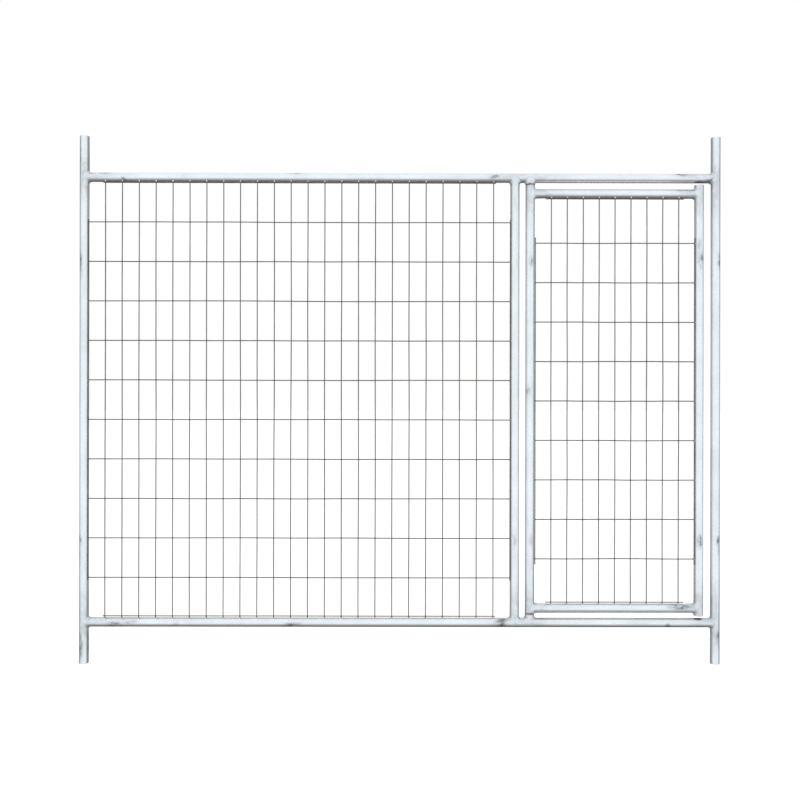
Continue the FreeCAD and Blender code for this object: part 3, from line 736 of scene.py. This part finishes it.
def hinge_pin(node):
    """A turned pin with chamfered ends and two shallow grease grooves."""
    low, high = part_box(node)
    centre, radius = (low + high) / 2, (high.x - low.x) / 2
    length = high.z - low.z
    profile = [(radius - PIN_CHAMFER, 0.0), (radius, PIN_CHAMFER)]
    for share in GROOVE_PLACES:
        groove, floor_radius = length * share, radius - GROOVE_DEPTH
        profile += [(radius, groove - GROOVE_TOP), (floor_radius, groove - GROOVE_FLOOR),
                    (floor_radius, groove + GROOVE_FLOOR), (radius, groove + GROOVE_TOP)]
    profile += [(radius, length - PIN_CHAMFER), (radius - PIN_CHAMFER, length)]
    angles = circle(PIN_SIDES)
    rings = [np.stack([centre.x + r * np.cos(angles), centre.y + r * np.sin(angles),
                       0 * angles + low.z + rise], axis=1) for r, rise in profile]
    skin = Skin()
    # The pin is darkened all over by painted shade.
    skin.add_rings(rings, stain_and_shade=[PIN_GREASE_AND_SHADE] * (len(rings) * PIN_SIDES))
    skin.make(f"{node}_turned", "frame", node, materials["pin"])


hinge_pin("upper_hinge_pin")
hinge_pin("lower_hinge_pin")


# ---------------------------------------------------------------- studio

FLOOR_SIZE, FLOOR_GREY, FLOOR_GLOW = 160, 0.30, 0.84
BACKDROP_RADIUS, BACKDROP_GLOW = 75, 1.0


def studio_material(name, grey, glow):
    """A matt stage surface that returns some of the studio's light and glows softly itself."""
    material = bpy.data.materials.new(name)
    material.use_nodes = True
    shader = material.node_tree.nodes["Principled BSDF"]
    shader.inputs["Base Color"].default_value = (grey, grey, grey, 1)
    shader.inputs["Roughness"].default_value = 1.0
    shader.inputs["Specular IOR Level"].default_value = 0.0
    shader.inputs["Emission Color"].default_value = (1, 1, 1, 1)
    shader.inputs["Emission Strength"].default_value = glow
    return material


bpy.ops.mesh.primitive_plane_add(size=FLOOR_SIZE, location=(0, 0, 0))
floor = bpy.context.object
floor.name = "floor"
floor.data.materials.append(studio_material("pale_floor", FLOOR_GREY, FLOOR_GLOW))
floor.visible_glossy = False

bpy.ops.mesh.primitive_uv_sphere_add(segments=48, ring_count=24, radius=BACKDROP_RADIUS, location=(0, 0, 0))
backdrop = bpy.context.object
backdrop.name = "backdrop"
backdrop.data.shade_smooth()
backdrop.data.materials.append(studio_material("pale_backdrop", 0.0, BACKDROP_GLOW))
backdrop.visible_glossy = backdrop.visible_diffuse = backdrop.visible_shadow = False

world = bpy.data.worlds.new("studio_light")
bpy.context.scene.world = world
world.use_nodes = True

WARM_SHADE, COOL_LIGHT = (1.0, 0.955, 0.90, 1), (0.935, 0.97, 1.0, 1)
STUDIO_BRIGHTNESS = 1.10

sky = Nodes(world.node_tree)
background = world.node_tree.nodes["Background"]
way = sky.node("ShaderNodeSeparateXYZ", {"Vector": sky.node("ShaderNodeTexCoord").outputs["Generated"]})


def fade(value, low, high, start, end):
    return sky.ramp(value, low, high, start, end, "SMOOTHSTEP")


# Bright in front and above, dimmer behind and below, and darkest at the sides above and below eye level. Each
# fade runs between two values of a direction's Y or Z, and gives the light's share at each of the two.
front = fade(way.outputs["Y"], 0.20, -0.50, 0.0, 1.0)
behind = fade(way.outputs["Y"], 0.84, 0.97, 0.0, 0.45)
above = fade(way.outputs["Z"], 0.40, 0.80, 0.0, 0.95)
below = fade(way.outputs["Z"], -0.30, -0.90, 1.0, 0.30)
side = fade(sky.maths("ABSOLUTE", way.outputs["Z"]), 0.12, 0.28, 0.50, 0.20)
share = sky.maths("MAXIMUM", sky.maths("MAXIMUM", front, behind), above)
light = sky.maths("ADD", side, sky.maths("MULTIPLY", share, sky.maths("SUBTRACT", STUDIO_BRIGHTNESS, side)))
strength = sky.maths("MULTIPLY", light, below)
sky.tree.links.new(strength, background.inputs["Strength"])
sky.tree.links.new(sky.mix(strength, WARM_SHADE, COOL_LIGHT), background.inputs["Color"])

SOFTBOX_WIDTH, SOFTBOX_DEPTH, SOFTBOX_WATTS = 6.0, 4.0, 60
SOFTBOX_PLACE, SOFTBOX_TILT = (0, -1.2, 4.6), math.radians(12)
softbox = bpy.data.lights.new("overhead_softbox", "AREA")
softbox.shape, softbox.size, softbox.size_y = "RECTANGLE", SOFTBOX_WIDTH, SOFTBOX_DEPTH
softbox.energy = SOFTBOX_WATTS
overhead = bpy.data.objects.new("overhead_softbox", softbox)
overhead.location = SOFTBOX_PLACE
overhead.rotation_euler = (SOFTBOX_TILT, 0, 0)
overhead.visible_camera = overhead.visible_glossy = False
bpy.context.scene.collection.objects.link(overhead)


# ---------------------------------------------------------------- camera

FIELD_WIDTH = 3.044       # width seen at the panel, which leaves a margin each side of it
CAMERA_DISTANCE = 3.0
CAMERA_HEIGHT = 1.0005    # half way up the panel
CAMERA_ROLL = 0.0018      # the camera is very slightly off level,
CAMERA_YAW = 0.0020       # and stands a few millimetres to the left, turned back to the panel's middle
SENSOR = 36.0
lens = bpy.data.cameras.new("camera")
lens.sensor_width = SENSOR
lens.lens = SENSOR * CAMERA_DISTANCE / FIELD_WIDTH
camera = bpy.data.objects.new("camera", lens)
camera.location = (-math.tan(CAMERA_YAW) * CAMERA_DISTANCE, -CAMERA_DISTANCE, CAMERA_HEIGHT)
camera.rotation_euler = (math.radians(90), -CAMERA_ROLL, -CAMERA_YAW)
bpy.context.scene.collection.objects.link(camera)
bpy.context.scene.camera = camera
bpy.context.scene.view_settings.view_transform = "Standard"
